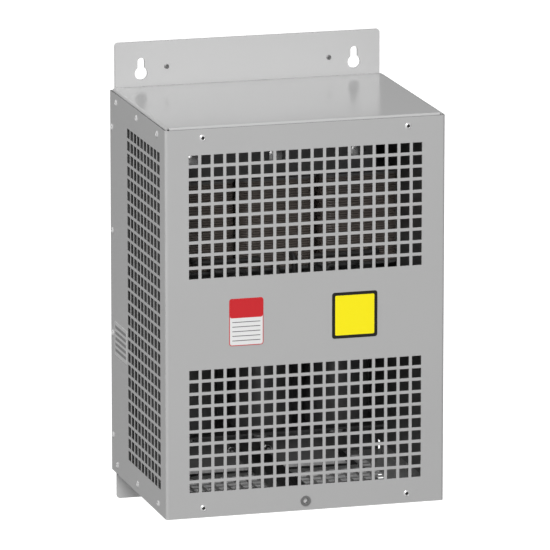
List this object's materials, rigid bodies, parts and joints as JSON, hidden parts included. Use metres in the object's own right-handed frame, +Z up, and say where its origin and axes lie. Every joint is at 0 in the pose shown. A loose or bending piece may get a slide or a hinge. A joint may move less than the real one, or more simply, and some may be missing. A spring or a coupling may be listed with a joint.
{
  "type": "sine wave filter",
  "caption": "Wall-mounted three-phase sine wave filter: choke, capacitors and terminals inside a perforated sheet-metal hood that slides off forward, with keyhole flanges.",
  "frame": {"origin": "on the wall plane, midway between the seats of the two keyholes", "axes": "+X to the right seen from the front, +Y back into the wall, +Z up"},
  "size_m": [0.2728, 0.2045, 0.444],
  "materials": {
    "housing_paint": "semi-gloss light grey",
    "zinc_hardware": "bright zinc",
    "zinc_sheet": "galvanised, satin",
    "brass": "satin",
    "lamination": "varnished, satin",
    "insulation": "matt",
    "winding": "varnished copper wire, satin",
    "clamp_paint": "satin",
    "wire_sleeve": "matt",
    "capacitor_can": "dark sleeve, satin",
    "dark_plastic": "matt",
    "tinned_metal": "tinned, satin",
    "copper": "satin",
    "rubber": "matt",
    "white_label": "printed foil, satin",
    "yellow_label": "printed foil, satin",
    "silver_label": "silver foil, satin"
  },
  "bodies": {
    "chassis": {"back_plate": "housing_paint", "hanger_strips": "housing_paint", "flange_rivets": "zinc_hardware", "plate_studs": "zinc_hardware", "stud_nuts": "zinc_hardware", "carrier_frame": "clamp_paint", "cover_arm": "zinc_sheet", "rivet_nut": "zinc_hardware", "earth_washer": "brass", "upper_yoke": "lamination", "core_limbs": "lamination", "lower_yoke": "lamination", "air_gap_spacers": "insulation", "bobbins": "insulation", "coil_u": "winding", "coil_v": "winding", "coil_w": "winding", "upper_front_clamp": "clamp_paint", "lower_front_clamp": "clamp_paint", "upper_rear_bracket": "clamp_paint", "lower_rear_bracket": "clamp_paint", "clamp_bolts": "zinc_hardware", "clamp_nuts": "zinc_hardware", "winding_leads": "wire_sleeve", "capacitor_shelf": "zinc_sheet", "capacitor_cans": "capacitor_can", "capacitor_lids": "dark_plastic", "capacitor_tabs": "tinned_metal", "capacitor_nuts": "zinc_hardware", "star_link": "copper", "capacitor_leads": "wire_sleeve", "terminal_rail": "zinc_sheet", "rail_standoffs": "zinc_hardware", "end_stops": "dark_plastic", "terminal_housings": "dark_plastic", "current_bars": "copper"},
    "hood": {"hood_shell": "housing_paint", "top_plate": "housing_paint", "bottom_plate": "housing_paint", "front_rivets": "zinc_hardware", "side_rivets": "zinc_hardware", "guide_rivets": "zinc_hardware", "cable_edge_trim": "rubber", "front_label_left": "white_label", "front_label_right": "yellow_label", "rating_plate": "silver_label"},
    "screw_washer": {"screw_washer": "zinc_hardware"},
    "cover_screw": {"cover_screw": "zinc_hardware"},
    "terminal_screw_1": {"terminal_screw_1": "zinc_hardware"},
    "terminal_cage_1": {"terminal_cage_1": "zinc_hardware"},
    "terminal_screw_2": {"terminal_screw_2": "zinc_hardware"},
    "terminal_cage_2": {"terminal_cage_2": "zinc_hardware"},
    "terminal_screw_3": {"terminal_screw_3": "zinc_hardware"},
    "terminal_cage_3": {"terminal_cage_3": "zinc_hardware"},
    "terminal_screw_4": {"terminal_screw_4": "zinc_hardware"},
    "terminal_cage_4": {"terminal_cage_4": "zinc_hardware"},
    "terminal_screw_5": {"terminal_screw_5": "zinc_hardware"},
    "terminal_cage_5": {"terminal_cage_5": "zinc_hardware"},
    "terminal_screw_6": {"terminal_screw_6": "zinc_hardware"},
    "terminal_cage_6": {"terminal_cage_6": "zinc_hardware"}
  },
  "joints": [
    {"name": "hood_slide", "type": "slide", "parent": "chassis", "child": "hood", "axis": [0, -1, 0], "range_m": [0, 0.25]},
    {"name": "cover_screw_travel", "type": "slide", "parent": "hood", "child": "screw_washer", "axis": [0, -1, 0], "range_m": [0, 0.012]},
    {"name": "cover_screw_turn", "type": "hinge", "parent": "screw_washer", "child": "cover_screw", "pos_m": [0, -0.2, -0.387], "axis": [0, -1, 0], "range_deg": [0, 5401]},
    {"name": "terminal_turn_1", "type": "hinge", "parent": "chassis", "child": "terminal_screw_1", "pos_m": [-0.04, -0.1595, -0.237], "axis": [0, -1, 0], "range_deg": [0, 3087]},
    {"name": "cage_travel_1", "type": "slide", "parent": "chassis", "child": "terminal_cage_1", "axis": [0, 1, 0], "range_m": [0, 0.006]},
    {"name": "terminal_turn_2", "type": "hinge", "parent": "chassis", "child": "terminal_screw_2", "pos_m": [-0.024, -0.1595, -0.237], "axis": [0, -1, 0], "range_deg": [0, 3087]},
    {"name": "cage_travel_2", "type": "slide", "parent": "chassis", "child": "terminal_cage_2", "axis": [0, 1, 0], "range_m": [0, 0.006]},
    {"name": "terminal_turn_3", "type": "hinge", "parent": "chassis", "child": "terminal_screw_3", "pos_m": [-0.008, -0.1595, -0.237], "axis": [0, -1, 0], "range_deg": [0, 3087]},
    {"name": "cage_travel_3", "type": "slide", "parent": "chassis", "child": "terminal_cage_3", "axis": [0, 1, 0], "range_m": [0, 0.006]},
    {"name": "terminal_turn_4", "type": "hinge", "parent": "chassis", "child": "terminal_screw_4", "pos_m": [0.008, -0.1595, -0.237], "axis": [0, -1, 0], "range_deg": [0, 3087]},
    {"name": "cage_travel_4", "type": "slide", "parent": "chassis", "child": "terminal_cage_4", "axis": [0, 1, 0], "range_m": [0, 0.006]},
    {"name": "terminal_turn_5", "type": "hinge", "parent": "chassis", "child": "terminal_screw_5", "pos_m": [0.024, -0.1595, -0.237], "axis": [0, -1, 0], "range_deg": [0, 3087]},
    {"name": "cage_travel_5", "type": "slide", "parent": "chassis", "child": "terminal_cage_5", "axis": [0, 1, 0], "range_m": [0, 0.006]},
    {"name": "terminal_turn_6", "type": "hinge", "parent": "chassis", "child": "terminal_screw_6", "pos_m": [0.04, -0.1595, -0.237], "axis": [0, -1, 0], "range_deg": [0, 3087]},
    {"name": "cage_travel_6", "type": "slide", "parent": "chassis", "child": "terminal_cage_6", "axis": [0, 1, 0], "range_m": [0, 0.006]}
  ],
  "couplings": [
    {"joint": "cover_screw_turn", "follows": "cover_screw_travel", "rad_per_m": 7854},
    {"joint": "terminal_turn_1", "follows": "cage_travel_1", "rad_per_m": 8976},
    {"joint": "terminal_turn_2", "follows": "cage_travel_2", "rad_per_m": 8976},
    {"joint": "terminal_turn_3", "follows": "cage_travel_3", "rad_per_m": 8976},
    {"joint": "terminal_turn_4", "follows": "cage_travel_4", "rad_per_m": 8976},
    {"joint": "terminal_turn_5", "follows": "cage_travel_5", "rad_per_m": 8976},
    {"joint": "terminal_turn_6", "follows": "cage_travel_6", "rad_per_m": 8976}
  ]
}
